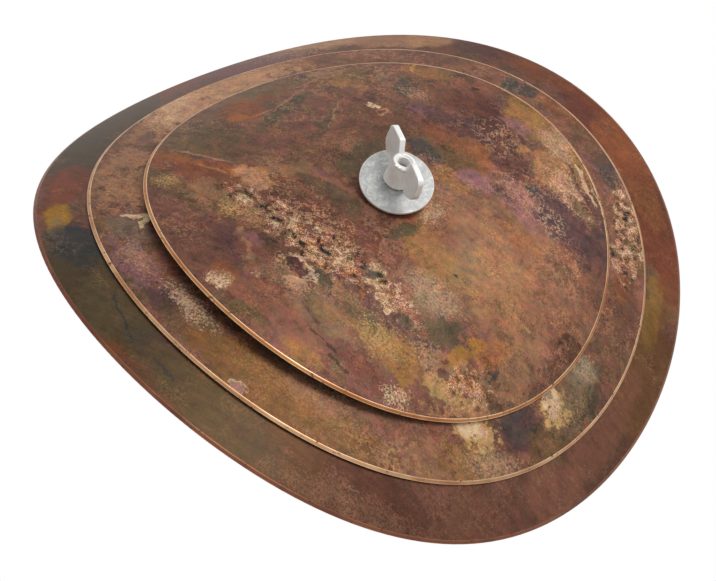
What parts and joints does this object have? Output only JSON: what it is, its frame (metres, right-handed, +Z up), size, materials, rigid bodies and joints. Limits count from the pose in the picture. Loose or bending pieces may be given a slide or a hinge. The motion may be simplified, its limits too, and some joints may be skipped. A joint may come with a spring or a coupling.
{
  "type": "cymbal stack",
  "caption": "Stack of bent round bronze effect cymbals nested with parallel ridges on a threaded stud, under a wide washer and a wing nut, on a screw-on stand adapter",
  "frame": {"origin": "middle of the mouth of the stand socket, on the stud's axis", "axes": "+Z up along the stud; -Y towards the side that the clamp washer dips to; the cymbals' ridges run 70.9 degrees from +X"},
  "size_m": [0.3355, 0.3551, 0.096],
  "materials": {
    "aged_bronze": "heat coloured and pitted bronze in brown, ochre, mauve and blue grey",
    "zinc_steel": "dull zinc plated steel",
    "cast_zinc": "bright cast zinc",
    "grey_felt": "pressed grey felt",
    "black_nylon": "black nylon"
  },
  "bodies": {
    "stand": {"stand_adapter": "zinc_steel", "jam_nut": "zinc_steel", "stud": "zinc_steel", "seat_washer": "zinc_steel", "sleeve": "black_nylon"},
    "felts": {"lower_felt": "grey_felt", "upper_felt": "grey_felt"},
    "cymbals": {"low_cymbal": "aged_bronze", "mid_cymbal": "aged_bronze", "top_cymbal": "aged_bronze"},
    "washer": {"clamp_washer": "zinc_steel"},
    "nut": {"wing_nut": "cast_zinc"}
  },
  "joints": [
    {"name": "stack_rock", "type": "hinge", "parent": "stand", "child": "felts", "pos_m": [0, 0, 0.041], "axis": [1, 0, 0], "range_deg": [-1.5, 12], "deforming": ["lower_felt", "upper_felt"]},
    {"name": "stack_swivel", "type": "hinge", "parent": "felts", "child": "cymbals", "pos_m": [0, 0, 0.041], "axis": [0, 0, 1], "continuous": true},
    {"name": "washer_lift", "type": "slide", "parent": "stand", "child": "washer", "axis": [0, 0, 1], "range_m": [0, 0.005]},
    {"name": "wing_nut_turn", "type": "hinge", "parent": "washer", "child": "nut", "pos_m": [0, 0, 0.0544], "axis": [0, 0, 1], "range_deg": [0, 1440]}
  ],
  "couplings": [
    {"joint": "wing_nut_turn", "follows": "washer_lift", "rad_per_m": 5026.5}
  ]
}
